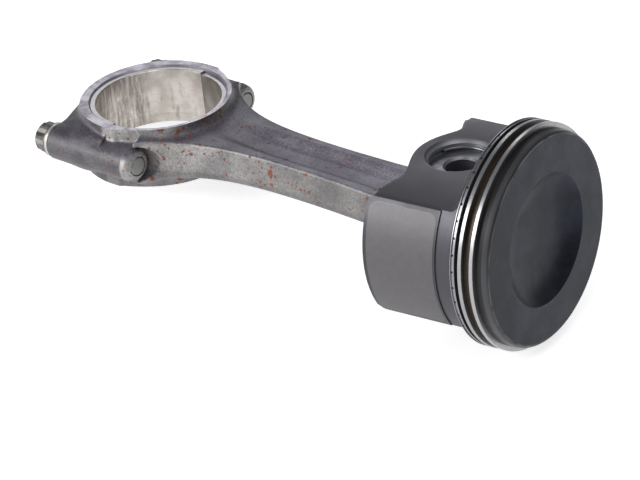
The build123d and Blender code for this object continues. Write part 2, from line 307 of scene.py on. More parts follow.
def lathe(profile, segments=192, axis="Z"):
    """A closed turned body from (along, radius) points; a closed loop unless it ends on the axis."""
    points, rings = [], []
    for along, radius in profile:
        if radius <= 0:
            rings.append([len(points)] * segments)
            points.append((0, 0, along))
            continue
        rings.append(list(range(len(points), len(points) + segments)))
        for k in range(segments):
            angle = 2 * pi * k / segments
            points.append((radius * cos(angle), radius * sin(angle), along))
    pairs = list(zip(rings, rings[1:]))
    if profile[0][1] > 0:
        pairs.append((rings[-1], rings[0]))
    faces = []
    for lower, upper in pairs:
        for k in range(segments):
            n = (k + 1) % segments
            corners = [lower[k], lower[n], upper[n], upper[k]]
            faces.append(list(dict.fromkeys(corners)))
    mesh = mesh_of(points, [f for f in faces if len(f) > 2])
    if axis == "X":
        mesh.transform(Matrix.Rotation(pi / 2, 4, "Y"))
    return mesh


def cylinder(radius, low, high, axis="Z", segments=192):
    """A closed cylinder from low to high along an axis."""
    return lathe([(low, 0), (low, radius), (high, radius), (high, 0)], segments, axis)


def block(low, high):
    """A box between two corners, for cutting with."""
    spans = list(zip(low, high))
    corners = [(x, y, z) for x in spans[0] for y in spans[1] for z in spans[2]]
    faces = [(0, 1, 3, 2), (4, 6, 7, 5), (0, 4, 5, 1), (2, 3, 7, 6), (0, 2, 6, 4), (1, 5, 7, 3)]
    return mesh_of(corners, faces)


def placed(mesh, x=0.0, y=0.0, z=0.0):
    """The same mesh, moved."""
    mesh.transform(Matrix.Translation((x, y, z)))
    return mesh


def temporary(mesh):
    """An object that holds a mesh while a boolean runs."""
    obj = bpy.data.objects.new("tool", mesh)
    bpy.context.scene.collection.objects.link(obj)
    return obj


def fix_normals(mesh):
    """Turns every face outwards if the mesh is inside out."""
    points = np.empty(len(mesh.vertices) * 3)
    mesh.vertices.foreach_get("co", points)
    points = points.reshape(-1, 3)
    mesh.calc_loop_triangles()
    corners = np.empty(len(mesh.loop_triangles) * 3, np.int32)
    mesh.loop_triangles.foreach_get("vertices", corners)
    a, b, c = (points[corners.reshape(-1, 3)[:, k]] for k in range(3))
    if np.einsum("ij,ij->i", a, np.cross(b, c)).sum() < 0:
        mesh.flip_normals()
    return mesh


def machine(mesh, cutters, operation="DIFFERENCE"):
    """The mesh after each cutter in turn has been taken from it (or intersected with it)."""
    body = temporary(fix_normals(mesh))
    tools = [temporary(fix_normals(cutter)) for cutter in cutters]
    for tool in tools:
        modifier = body.modifiers.new("cut", "BOOLEAN")
        modifier.operation = operation
        modifier.solver = "MANIFOLD"
        modifier.object = tool
    bpy.context.view_layer.update()
    made = body.evaluated_get(bpy.context.evaluated_depsgraph_get())
    result = bpy.data.meshes.new_from_object(made)
    for obj in [body, *tools]:
        bpy.data.objects.remove(obj)
    return result


def face_facts(mesh):
    """Centres and normals of every face, in the mesh's own frame."""
    centre = np.empty(len(mesh.polygons) * 3)
    normal = np.empty(len(mesh.polygons) * 3)
    mesh.polygons.foreach_get("center", centre)
    mesh.polygons.foreach_get("normal", normal)
    return centre.reshape(-1, 3), normal.reshape(-1, 3)


def finish_piece(name, mesh, matrix, materials, zones=None, sharp_deg=35):
    """A named object in the row frame, smooth-shaded, with materials by zone number."""
    mesh.materials.clear()
    for material in materials:
        mesh.materials.append(material)
    number = np.zeros(len(mesh.polygons), np.int32) if zones is None else zones.astype(np.int32)
    mesh.polygons.foreach_set("material_index", number)
    mesh.transform(matrix)
    mesh.shade_smooth()
    mesh.set_sharp_from_angle(angle=radians(sharp_deg))
    obj = bpy.data.objects.new(name, mesh)
    bpy.context.scene.collection.objects.link(obj)
    return obj


# ---------------------------------------------------------------- materials


class Finish:
    """A material being built, with patterns in the millimetres of a piece's own frame."""

    def __init__(self, name, matrix):
        self.material = bpy.data.materials.new(name)
        self.material.use_nodes = True
        self.nodes = self.material.node_tree.nodes
        self.links = self.material.node_tree.links
        self.shader = self.nodes["Principled BSDF"]
        self.coordinate = self.nodes.new("ShaderNodeTexCoord")
        mapping = self.nodes.new("ShaderNodeMapping")
        inverse = matrix.inverted()
        mapping.inputs["Location"].default_value = inverse.to_translation()
        mapping.inputs["Rotation"].default_value = inverse.to_euler()
        mapping.inputs["Scale"].default_value = (1 / MM, 1 / MM, 1 / MM)
        self.link(self.coordinate.outputs["Object"], mapping.inputs["Vector"])
        self.place = mapping.outputs["Vector"]
        parts = self.add("ShaderNodeSeparateXYZ", {"Vector": self.place})
        self.x, self.y, self.z = parts.outputs

    def link(self, source, target):
        """Joins an output socket to an input socket."""
        self.links.new(source, target)

    def put(self, target, value):
        """Sets a socket to a plain value, or links it to another socket."""
        if isinstance(value, bpy.types.NodeSocket):
            self.link(value, target)
        else:
            target.default_value = value

    def add(self, kind, inputs=None, **settings):
        """A new node with its settings and its input sockets filled."""
        node = self.nodes.new(kind)
        for key, value in settings.items():
            setattr(node, key, value)
        for key, value in (inputs or {}).items():
            self.put(node.inputs[key], value)
        return node

    def set(self, **values):
        """Shader sockets by name, with underscores for spaces."""
        for key, value in values.items():
            self.put(self.shader.inputs[key.replace("_", " ")], value)

    def math(self, operation, a, b=0.0):
        """One arithmetic step on sockets or numbers."""
        return self.add("ShaderNodeMath", {0: a, 1: b}, operation=operation).outputs[0]

    def length(self, a, b):
        """The length of the flat vector (a, b)."""
        squares = self.math("ADD", self.math("MULTIPLY", a, a), self.math("MULTIPLY", b, b))
        return self.math("SQRT", squares)

    def size_of(self, value):
        """A value without its sign."""
        return self.math("ABSOLUTE", value)

    def vector(self, operation, a, b):
        """One vector step on sockets or triples."""
        return self.add("ShaderNodeVectorMath", {0: a, 1: b}, operation=operation).outputs[0]

    def tool_marks(self, along, spacing, detail):
        """Fine parallel marks, as a noise of one coordinate with about that spacing in mm."""
        inputs = {"W": along, "Scale": 1 / spacing, "Detail": detail}
        return self.add("ShaderNodeTexNoise", inputs, noise_dimensions="1D").outputs["Fac"]

    def noise(self, size, detail=3.0, roughness=0.55, stretch=None):
        """Noise with features of about that size in mm, from 0 to 1."""
        where = self.vector("MULTIPLY", self.place, stretch) if stretch else self.place
        inputs = {"Vector": where, "Scale": 1 / size, "Detail": detail, "Roughness": roughness}
        return self.add("ShaderNodeTexNoise", inputs).outputs["Fac"]

    def span(self, value, low, high, to_low=0.0, to_high=1.0, smooth=True):
        """Maps low..high to to_low..to_high, clamped."""
        kind = "SMOOTHSTEP" if smooth else "LINEAR"
        inputs = {"Value": value, "From Min": low, "From Max": high, "To Min": to_low, "To Max": to_high}
        return self.add("ShaderNodeMapRange", inputs, interpolation_type=kind).outputs[0]

    def mix(self, share, first, second):
        """Between two colours, by a share from 0 to 1."""
        node = self.add("ShaderNodeMix", data_type="RGBA")
        self.put(node.inputs[0], share)
        self.put(node.inputs[6], first)
        self.put(node.inputs[7], second)
        return node.outputs[2]

    def shade(self, colour, factor):
        """A colour made darker or lighter by a factor."""
        node = self.add("ShaderNodeVectorMath", {0: colour, "Scale": factor}, operation="SCALE")
        return node.outputs[0]

    def both(self, *masks):
        """Product of masks."""
        result = masks[0]
        for mask in masks[1:]:
            result = self.math("MULTIPLY", result, mask)
        return result

    def either(self, *masks):
        """The largest of masks."""
        result = masks[0]
        for mask in masks[1:]:
            result = self.math("MAXIMUM", result, mask)
        return result

    def facing(self, axis):
        """How squarely the surface faces along an axis or against it, from 0 to 1."""
        inputs = {0: self.coordinate.outputs["Normal"], 1: axis}
        dot = self.add("ShaderNodeVectorMath", inputs, operation="DOT_PRODUCT").outputs["Value"]
        return self.math("ABSOLUTE", dot)

    def specks(self, spacing, size, share, seed):
        """Scattered ragged spots: a share of the cells of a pattern hold one, of about that size."""
        inputs = {"Vector": self.place, "Scale": 1.6 / size, "Detail": 3.0}
        ragged = self.add("ShaderNodeTexNoise", inputs)
        shift = self.shade(ragged.outputs["Color"], 0.9 * size)
        where = self.vector("ADD", self.vector("ADD", self.place, shift), (seed, -seed, 2 * seed))
        cells = self.add("ShaderNodeTexVoronoi", {"Vector": where, "Scale": 1 / spacing})
        chance = self.add("ShaderNodeSeparateColor", {"Color": cells.outputs["Color"]}).outputs
        radius = self.math("MULTIPLY", self.span(chance[1], 0, 1, 0.3, 1.0, False), size / 2 / spacing)
        near = self.math("SUBTRACT", radius, cells.outputs["Distance"])
        spot = self.span(near, -0.02, 0.06)
        chosen = self.math("LESS_THAN", chance[0], share)
        return self.math("MULTIPLY", spot, chosen)

    def bump(self, height, distance_mm, strength=1.0, under=None):
        """A normal bent by a height pattern, on top of another bent normal if one is given."""
        inputs = {"Height": height, "Distance": distance_mm * MM, "Strength": strength}
        if under is not None:
            inputs["Normal"] = under
        return self.add("ShaderNodeBump", inputs).outputs["Normal"]


RUST = (0.25, 0.080, 0.045, 1)
PIT = (0.035, 0.032, 0.032, 1)


def forged_colour_and_shade(f, grain):
    """Faces along the crank axis painted darker and flanks lighter, as painted shade and light from the side; dark
    scale on the cap, painted shade along the lower edge, and a pale web along the shank.
    """
    broad = f.span(f.noise(13, 4), 0.35, 0.65)
    cap_side = f.span(f.x, -3.0, 0.0, 1.0, 0.0)
    # Painted shade: flanks below z of about -4 mm are darkened where the rounded lower edge turns away from the
    # light. The cap's side carries its real dark scale.
    low_edge_shade = f.span(f.z, -3.0, -5.5, 0.0, 0.55)
    boss_side = f.both(f.span(f.x, 12.8, ROD_BOSS_X, 1, 0), f.span(f.size_of(f.z), 6.9, 7.9, 1, 0))
    near_rim = f.span(f.length(f.x, f.y), ROD_RIM_R, ROD_RIM_R + 1.5, 1, 0)
    wall_side = f.both(near_rim, f.span(f.y, -22, -8), 0.8)
    scale_and_shade = f.either(cap_side, low_edge_shade, boss_side, wall_side)
    flank = f.mix(broad, (0.215, 0.205, 0.205, 1), (0.330, 0.315, 0.310, 1))
    flank = f.shade(flank, f.span(f.x, 30, 90, 1.0, 0.62))
    flank = f.mix(scale_and_shade, flank, f.mix(broad, (0.076, 0.071, 0.079, 1), (0.116, 0.109, 0.116, 1)))
    top = f.mix(broad, (0.092, 0.085, 0.104, 1), (0.135, 0.127, 0.148, 1))
    top = f.shade(top, f.span(f.x, -4, 20, 0.78, 1.15))
    top = f.shade(top, f.span(f.x, 25, 75, 1.0, 1.45))
    # Painted light and shade: surfaces facing along the crank axis take the dark colour, and the flanks take the
    # light one.
    colour = f.mix(f.span(f.facing(CRANK_AXIS), 0.45, 0.85), flank, top)
    return f.shade(colour, f.span(grain, 0.34, 0.66, 0.66, 1.38, False))


def forged_rust(f):
    """Where rust sits on the forging: specks and stains, most of them near the big end."""
    density = f.both(f.span(f.noise(20, 2), 0.40, 0.60, 0.25, 1.0), f.span(f.x, 25, 120, 1.0, 0.4))
    density = f.both(density, f.span(f.span(f.x, -3.0, 0.0, 1.0, 0.0), 0, 1, 1.0, 0.35))
    big = f.specks(4.6, 3.0, f.math("MULTIPLY", density, 0.60), 3.1)
    small = f.specks(2.1, 1.5, f.math("MULTIPLY", density, 0.70), 7.7)
    stain = f.both(f.span(f.noise(5, 5, 0.7), 0.60, 0.80), density, 0.6)
    return f.either(big, small, stain)


def forged_finish():
    """Forged steel: faces along the crank axis painted darker and flanks lighter, as shade and light from the
    side, grain, stains and rust specks.
    """
    f = Finish("forged_steel_finish", ROD)
    grain = f.noise(0.95, 4, 0.75)
    rust = forged_rust(f)
    pits = f.both(f.specks(2.8, 1.0, 0.25, 12.0), 0.7)
    colour = f.mix(f.both(rust, 0.85), forged_colour_and_shade(f, grain), RUST)
    colour = f.mix(pits, colour, PIT)
    rough = f.either(f.span(grain, 0.3, 0.7, 0.36, 0.56, False), f.both(rust, 0.85))
    normal = f.bump(grain, 0.16, 0.9)
    normal = f.bump(f.math("SUBTRACT", rust, pits), 0.06, 0.7, normal)
    f.set(Base_Color=colour, Roughness=rough, Normal=normal, Metallic=0.5)
    return f.material


def machined_finish(name, matrix, light, dark):
    """Cut steel with fine rings of tool marks, slight stains and a few rust points."""
    f = Finish(name, matrix)
    marks = f.tool_marks(f.length(f.x, f.y), 0.25, 3.0)
    blotch = f.noise(5, 4, 0.6)
    colour = f.mix(f.span(blotch, 0.35, 0.7), light, dark)
    colour = f.shade(colour, f.span(marks, 0.3, 0.7, 0.90, 1.08, False))
    rust = f.both(f.specks(5.0, 2.2, 0.20, 5.0), 0.85)
    colour = f.mix(rust, colour, RUST)
    rough = f.either(f.span(blotch, 0.3, 0.7, 0.27, 0.43), f.both(rust, 0.8))
    normal = f.bump(marks, 0.012, 0.5)
    f.set(Base_Color=colour, Roughness=rough, Normal=normal, Metallic=0.85)
    return f.material


def crown_mask(f, radius):
    """The crown's face and its bowl, and the bowl alone."""
    bowl = f.both(f.span(f.x, 29.6, 30.2), f.span(radius, 26.6, 27.0, 1, 0))
    return f.either(f.span(f.x, 33.0, 34.2), bowl), bowl


def crown_colour(f):
    """Blue-black burnt alloy, darker towards one side."""
    mottle = f.span(f.noise(11, 6, 0.65), 0.35, 0.7)
    colour = f.mix(mottle, (0.006, 0.008, 0.015, 1), (0.018, 0.021, 0.034, 1))
    return f.shade(colour, f.span(f.y, -36, -12, 0.5, 1.0))


def cast_colour(f, broad):
    """Grey cast alloy, painted paler on the far side as a sheen for its grazing reflection."""
    colour = f.mix(broad, (0.048, 0.047, 0.055, 1), (0.074, 0.072, 0.083, 1))
    # Painted sheen: the far side, from y of about 10 mm, is lightened up to 1.6 times.
    return f.shade(colour, f.span(f.y, 10, 26, 1.0, 1.6))


def belt_colour(f, colour, outside):
    """The ring belt: dark lands, a soot-brown one under the top ring, and a painted highlight as a paler band at
    the crown edge.
    """
    colour = f.mix(f.both(outside, f.span(f.x, 19.0, 19.3)), colour, (0.024, 0.022, 0.023, 1))
    brown = f.both(outside, f.span(f.x, 25.2, 25.6), f.span(f.x, 28.9, 29.3, 1, 0))
    colour = f.mix(brown, colour, (0.040, 0.028, 0.018, 1))
    # Painted highlight: the outside above x of about 33 mm is made paler.
    return f.mix(f.both(outside, f.span(f.x, 33.0, 33.4)), colour, (0.060, 0.061, 0.066, 1))


def skirt_patch(f, skirt):
    """The printed coating on each skirt: a rectangle with rounded corners."""
    patch_x = f.math("SUBTRACT", f.size_of(f.math("SUBTRACT", f.x, PATCH_CENTRE_X)), PATCH_HALF_X)
    patch_z = f.math("SUBTRACT", f.size_of(f.z), PATCH_HALF_Z)
    corner = f.length(f.math("MAXIMUM", patch_x, 0.0), f.math("MAXIMUM", patch_z, 0.0))
    return f.both(skirt, f.span(corner, PATCH_CORNER_R - 0.15, PATCH_CORNER_R + 0.15, 1, 0))


def piston_wear(f, colour, radius, bowl):
    """Smudges in the bowl that also paint its highlight, faint scratches, a worn line round the crown and a
    brighter pin bore.
    """
    # Grey smudges, strongest on the bowl's near side, where they also stand as a painted highlight.
    smudge_and_highlight = f.both(bowl, f.span(f.y, 12, -10), f.span(f.noise(9, 4), 0.38, 0.62), 0.4)
    colour = f.mix(smudge_and_highlight, colour, (0.050, 0.048, 0.050, 1))
    face = f.span(f.x, 35.2, 35.5)
    scratch = f.span(f.noise(2.0, 2, 0.5, stretch=(1.0, 5.0, 0.35)), 0.66, 0.74)
    scratch = f.both(scratch, face, f.span(f.noise(14, 2), 0.45, 0.60), 0.35)
    colour = f.mix(scratch, colour, (0.10, 0.10, 0.11, 1))
    line = f.both(f.span(f.size_of(f.math("SUBTRACT", radius, 40.5)), 0.15, 0.5, 1, 0), 0.5)
    line = f.both(line, face, f.span(f.noise(7, 3), 0.35, 0.6))
    colour = f.mix(line, colour, (0.16, 0.15, 0.14, 1))
    bore = f.span(f.length(f.x, f.y), PIN_R + 0.1, PIN_R + PIN_BORE_CHAMFER + 0.3, 1, 0)
    return f.mix(bore, colour, (0.28, 0.28, 0.30, 1))


def piston_finish():
    """Graphite-grey alloy: dark crown with grey smudges that also paint a highlight in its bowl, brown second
    land, coated skirt patches.
    """
    f = Finish("piston_alloy_finish", PISTON)
    radius = f.length(f.y, f.z)
    outside = f.span(radius, LAND_R - 1.2, LAND_R - 0.6)
    broad = f.noise(18, 4)
    fine = f.noise(0.5, 3, 0.65)
    crown, bowl = crown_mask(f, radius)
    colour = f.mix(crown, cast_colour(f, broad), crown_colour(f))
    colour = belt_colour(f, colour, outside)
    skirt = f.both(outside, f.span(f.x, 12.9, 13.1, 1, 0))
    colour = f.mix(skirt, colour, (0.048, 0.048, 0.054, 1))
    patch = skirt_patch(f, skirt)
    coat = f.mix(f.noise(3.0, 5, 0.65), (0.098, 0.092, 0.097, 1), (0.134, 0.126, 0.132, 1))
    colour = f.mix(patch, colour, coat)
    colour = f.shade(colour, f.span(fine, 0.25, 0.75, 0.90, 1.10, False))
    specks = f.both(f.specks(9.0, 1.2, 0.25, 21.0), skirt, 0.5)
    colour = f.mix(specks, colour, (0.10, 0.07, 0.05, 1))
    colour = piston_wear(f, colour, radius, bowl)
    normal = f.bump(fine, 0.03, 0.6)
    normal = f.bump(f.both(f.tool_marks(f.x, 0.28, 2.0), outside), 0.010, 0.7, normal)
    rough = f.either(f.span(broad, 0.3, 0.7, 0.36, 0.46), f.both(patch, 0.50))
    f.set(Base_Color=colour, Roughness=rough, Normal=normal, Metallic=0.6)
    return f.material


def faded(colour, factor):
    """A fixed colour made darker."""
    return tuple(factor * channel for channel in colour[:3]) + (1,)


def ring_finish(name, colour, roughness):
    """Ground ring steel with faint wear bands along its face."""
    f = Finish(name, PISTON)
    streak = f.noise(2.2, 3, 0.6, stretch=(6.0, 1.0, 1.0))
    tone = f.mix(streak, colour, faded(colour, 0.72))
    rough = f.span(streak, 0.2, 0.8, roughness - 0.05, roughness + 0.08)
    normal = f.bump(f.noise(0.3, 2, 0.6, stretch=(8.0, 1.0, 1.0)), 0.008, 0.5)
    f.set(Base_Color=tone, Roughness=rough, Normal=normal, Metallic=1.0)
    return f.material


def shell_finish(name, tone, half_z):
    """Satin bearing lining with stains, scuffs along the rotation and brown smears; a tone below 1 darkens the
    whole colour as painted shade.
    """
    f = Finish(name, ROD)
    radius = f.length(f.x, f.y)
    broad = f.noise(9, 4, 0.6)
    scuff = f.noise(4.5, 4, 0.7, stretch=(1.0, 1.0, 6.0))
    colour = f.mix(f.span(broad, 0.35, 0.65), (0.56, 0.51, 0.46, 1), (0.74, 0.70, 0.66, 1))
    colour = f.shade(colour, f.span(scuff, 0.3, 0.7, 0.90, 1.06, False))
    smear = f.both(f.span(f.noise(3.2, 5, 0.7, stretch=(1.0, 1.0, 0.25)), 0.54, 0.68), 0.45)
    colour = f.mix(smear, colour, (0.19, 0.155, 0.12, 1))
    spots = f.both(f.specks(4.0, 0.8, 0.16, 31.0), 0.6)
    colour = f.mix(spots, colour, (0.10, 0.085, 0.075, 1))
    # Painted shade: a tone below 1 darkens the whole lining.
    colour = f.shade(colour, tone)
    end_face = f.span(f.size_of(f.z), half_z - 0.12, half_z - 0.02)
    colour = f.mix(end_face, colour, (0.20, 0.195, 0.20, 1))
    streaks = f.span(f.noise(1.6, 4, 0.7, stretch=(1.0, 1.0, 0.15)), 0.35, 0.62)
    left = f.both(f.span(f.x, -18.5, -22.5), f.span(f.noise(4, 3), 0.24, 0.48), streaks, 0.65)
    colour = f.mix(left, colour, (0.13, 0.105, 0.085, 1))
    lower = f.span(f.z, -7.2, -7.8, 0.0, 0.18)
    colour = f.mix(lower, colour, (0.20, 0.18, 0.16, 1))
    back = f.span(radius, 25.3, 25.6)
    colour = f.mix(back, colour, (0.40, 0.39, 0.40, 1))
    rough = f.span(scuff, 0.2, 0.8, 0.26, 0.44)
    normal = f.bump(scuff, 0.010, 0.5)
    f.set(Base_Color=colour, Roughness=rough, Normal=normal, Metallic=0.9)
    return f.material


def plain_steel_finish(name, matrix, colour, roughness):
    """Dark or bright steel with a fine grain and slight colour variation."""
    f = Finish(name, matrix)
    broad = f.noise(4, 4)
    tone = f.mix(broad, colour, faded(colour, 0.65))
    rough = f.span(broad, 0.3, 0.7, roughness - 0.06, roughness + 0.08)
    normal = f.bump(f.noise(0.6, 3, 0.65), 0.02, 0.5)
    f.set(Base_Color=tone, Roughness=rough, Normal=normal, Metallic=0.9)
    return f.material


def bolt_finish():
    """Phosphated bolt steel: dull brownish head, a painted highlight as a pale band on the flange rim, and a cut
    grey tip.
    """
    f = Finish("bolt_steel_finish", ROD)
    broad = f.noise(3, 4, 0.65)
    colour = f.mix(f.span(broad, 0.35, 0.65), (0.105, 0.099, 0.096, 1), (0.185, 0.171, 0.158, 1))
    flange_x = -CAP_BOSS_X - BOLT_FLANGE_H
    seat_side = f.span(f.x, -CAP_BOSS_X - 0.1, -CAP_BOSS_X + 0.1, 1, 0)
    # Painted highlight: a pale band round the flange rim beside the seat.
    rim = f.both(f.span(f.x, flange_x + 0.5, flange_x + 0.9), seat_side)
    colour = f.mix(rim, colour, (0.50, 0.49, 0.48, 1))
    tip = f.span(f.x, BOLT_TIP_X - 0.9, BOLT_TIP_X - 0.5)
    colour = f.mix(tip, colour, (0.240, 0.245, 0.235, 1))
    rust = f.both(f.specks(3.0, 1.4, 0.2, 4.4), 0.7)
    colour = f.mix(rust, colour, RUST)
    normal = f.bump(f.noise(0.5, 3, 0.7), 0.05, 0.7)
    f.set(Base_Color=colour, Roughness=f.span(broad, 0.3, 0.7, 0.36, 0.52), Normal=normal, Metallic=0.75)
    return f.material


# ---------------------------------------------------------------- connecting rod and cap


def shank_half_width(x):
    """Half the shank's width: wide shoulders that die away quickly, then a slight widening."""
    shoulder = SHOULDER_Y * np.exp(-(x - SHOULDER_X) / SHOULDER_DECAY)
    return SHANK_HALF_Y + shoulder + SHANK_FLARE * (x - SHANK_WAIST_X) ** 2


def shank_half_height(x, y):
    """Half the shank's height, less the dished I-beam hollow in each face."""
    height = SHANK_HALF_Z + SHOULDER_Z * np.exp(-(x - SHOULDER_X) / SHOULDER_Z_DECAY)
    along = ease(x, 26.0, 64.0) * ease(-x, -138.0, -124.0)
    across = ease(HOLLOW_HALF_Y - np.abs(y), 0.0, 6.4)
    return height - HOLLOW_DEPTH * along * across


def rod_rim_field(x, y, z):
    """The rod's half of the big-end ring, slimmer beside the shoulders, with a pad at each side."""
    rim_r = ROD_RIM_R - RIM_TRIM - RIM_WAIST * ease(x, 4.0, 16.0)
    rim = disc(x, y, z, rim_r, BIG_END_HALF_Z + FACE_STOCK, 0.3)
    pads = rounded(np.abs(y) - PAD_Y, np.abs(x) - PAD_X, 2.0)
    pads = rounded(pads, np.abs(z) - BIG_END_HALF_Z - FACE_STOCK, 0.3)
    return union(rim, pads, 1.0)


def rod_boss_field(x, y, z):
    """The two bolt bosses, each joined to the ring by a web."""
    web = rounded(np.abs(y) - BOLT_Y, np.abs(x) - ROD_BOSS_X - 3.0, 1.0)
    web = rounded(web, np.abs(z) - ROD_BOSS_R, 1.5)
    boss = rod_along(np.abs(y), z, x, BOLT_Y, ROD_BOSS_R, -20.0, ROD_NOSE_X - 1.0, 1.0)
    return union(web, boss, 0.8)


def beam_field(x, y, z):
    """The I-beam shank from the big end to the small end."""
    side = (np.abs(y) - shank_half_width(x)) * SLOPE_SCALE
    face = (np.abs(z) - shank_half_height(x, y)) * SLOPE_SCALE
    beam = rounded(side, face, np.where(z > 0, UPPER_EDGE_R, LOWER_EDGE_R))
    return np.maximum(beam, np.maximum(15.0 - x, x - ROD_LENGTH))


def rod_field(x, y, z):
    """The rod forging before machining."""
    eye = disc(x - ROD_LENGTH, y, z, SMALL_END_R, SMALL_END_HALF_Z, 0.8)
    big_end = union(rod_rim_field(x, y, z), rod_boss_field(x, y, z), 2.5)
    body = union(union(beam_field(x, y, z), eye, 7.0), big_end, 3.5)
    spot_face = np.maximum(np.hypot(np.abs(y) - BOLT_Y, z) - SPOT_FACE_R, ROD_BOSS_X - x)
    body = common(body, -spot_face, 0.5)
    nose = rod_along(np.abs(y), z, x, BOLT_Y, ROD_BOSS_R, 0.0, ROD_NOSE_X, NOSE_EDGE_R)
    return np.maximum(union(body, nose, 0.7), -SPLIT_STOCK - x)


def cap_field(x, y, z):
    """The cap forging before machining: its bosses slim down to the rod's at the split."""
    rim = disc(x, y, z, CAP_RIM_R - BOX_MARGIN, BIG_END_HALF_Z + FACE_STOCK, 0.3)
    band = disc(x, y, z, CAP_BAND_R, 7.4, 1.2)
    boss_r = CAP_BOSS_R - (CAP_BOSS_R - ROD_BOSS_R) * ease(x, -14.0, -1.0)
    bosses = rod_along(np.abs(y), z, x, BOLT_Y, boss_r, -CAP_BOSS_X, 20.0, 0.8)
    web = rounded(np.abs(y) - BOLT_Y + 2.5, np.abs(x) - CAP_BOSS_X, 2.0)
    web = rounded(web, np.abs(z) - boss_r + 0.2, 1.6)
    bosses = union(bosses, web, 1.5)
    blend = 2.5 + 5.0 * ease(-x, 0.0, 14.0)
    return np.maximum(union(union(rim, band, 3.0), bosses, blend), x - SPLIT_STOCK)


def big_end_cutters(split_side):
    """What machining takes from both halves of the big end."""
    top = BIG_END_HALF_Z
    mouth_r = HOUSING_R + HOUSING_CHAMFER + FACE_STOCK
    bore = lathe([
        (-top - FACE_STOCK, 0), (-top - FACE_STOCK, mouth_r), (HOUSING_CHAMFER - top, HOUSING_R),
        (top - HOUSING_CHAMFER, HOUSING_R), (top + FACE_STOCK, mouth_r), (top + FACE_STOCK, 0),
    ], 256)
    upper = block((-REACH, -REACH, top), (REACH, REACH, top + 9))
    lower = block((-REACH, -REACH, -top - 9), (REACH, REACH, -top))
    split = block((-REACH, -REACH, -REACH), (0, REACH, REACH))
    if split_side < 0:
        split = block((0, -REACH, -REACH), (REACH, REACH, REACH))
    return [bore, upper, lower, split]


def machined_zones(mesh):
    """Zone 1 for the machined faces of the big end and the small-end bore, else 0."""
    centre, normal = face_facts(mesh)
    radius = np.hypot(centre[:, 0], centre[:, 1])
    thrust = np.abs(np.abs(centre[:, 2]) - BIG_END_HALF_Z) < 0.01
    bore = radius < HOUSING_R + HOUSING_CHAMFER + BORE_MARGIN
    split = np.abs(centre[:, 0]) < 0.01
    small = np.hypot(centre[:, 0] - ROD_LENGTH, centre[:, 1]) < BUSH_OUT_R + BORE_MARGIN
    return thrust | bore | split | small


def keep_forging(name, replaced, mesh, forged, machined):
    """Puts a finished forging on the rod's body in place of its CAD node."""
    piece = finish_piece(name, mesh, ROD, [forged, machined], machined_zones(mesh))
    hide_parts(replaced)
    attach(piece, "rod")


def make_rod(forged, machined):
    """The connecting rod, forged then machined."""
    mesh = field_mesh(rod_field, (-3, -41, -15), (178, 41, 15), FORGED_GRID)
    cutters = big_end_cutters(1)
    cutters.append(placed(cylinder(BUSH_OUT_R, -20, 20), ROD_LENGTH))
    for side in (1, -1):
        cutters.append(placed(cylinder(BOLT_R + ROD_BORE_GAP, -5, 40, "X", 64), 0, side * BOLT_Y))
    keep_forging("rod_forging", "connecting_rod", machine(mesh, cutters), forged, machined)


def make_cap(forged, machined):
    """The bearing cap, forged then machined."""
    mesh = field_mesh(cap_field, (-36, -41, -15), (3, 41, 15), FORGED_GRID)
    cutters = big_end_cutters(-1)
    for side in (1, -1):
        cutters.append(placed(cylinder(BOLT_R + CAP_BORE_GAP, -60, 5, "X", 64), 0, side * BOLT_Y))
    keep_forging("cap_forging", "rod_cap", machine(mesh, cutters), forged, machined)


# ---------------------------------------------------------------- piston


def skirt_outline(x, y):
    """Seen along the pin: the skirts' and arches' lower edge, and the round pin boss."""
    lowest = ARCH_TOP_X - 4.6 * ease(np.abs(y), 18.0, 31.0) - 2.1 * ease(np.abs(y), 28.0, 34.0)
    return union((lowest - x) * 0.95, np.hypot(x, y) - BOSS_R, 9.0)


def wall_field(x, y, far_z):
    """The outside of the skirts and pin-boss walls below the ring belt."""
    lean_y = SKIRT_CORNER_Y - BOSS_FLAT_Y
    lean_z = BOSS_FACE_Z - SKIRT_HALF_Z
    slope = (np.abs(y) - BOSS_FLAT_Y) * lean_z + (far_z - BOSS_FACE_Z) * lean_y
    body = common(far_z - BOSS_FACE_Z, slope / np.hypot(lean_y, lean_z), 7.0)
    body = np.maximum(body, np.hypot(y, far_z) - PISTON_R - TURNING_STOCK)
    body = common(body, skirt_outline(x, y), 1.2)
    corner = (far_z - x - SKIRT_HALF_Z + SKIRT_LOW_X + SKIRT_CORNER_CUT - 1.0) / np.sqrt(2.0)
    body = np.maximum(body, corner + 0.9 * np.minimum(np.abs(y) - 31.0, 0.0))
    return np.maximum(body, x - BELT_LOW_X - 2.0)


def room_field(x, y, far_z):
    """The hollow inside the piston, less the pin bosses that stand in it."""
    room = rounded(np.hypot(y, far_z) - CAVITY_R, far_z - CAVITY_HALF_Z, 4.0)
    room = rounded(room, x - CAVITY_ROOF_X, 5.0)
    boss = union(np.hypot(x, y) - BOSS_R, rounded(-x, np.abs(y) - BOSS_WEB_HALF_Y, 3.0), 4.0)
    boss = rounded(boss, BOSS_GAP_HALF_Z - far_z, 1.2)
    return common(room, -boss, 4.0)


def piston_field(x, y, z):
    """The cast piston before turning: a ring belt on hollow walls."""
    far_z = np.abs(z)
    belt = np.hypot(y, z) - PISTON_R - TURNING_STOCK
    belt = rounded(belt, np.abs(x - BELT_MIDDLE_X) - BELT_MIDDLE_X + BELT_LOW_X, 0.3)
    solid = union(belt, wall_field(x, y, far_z), 2.5)
    return common(solid, -room_field(x, y, far_z), 1.2)


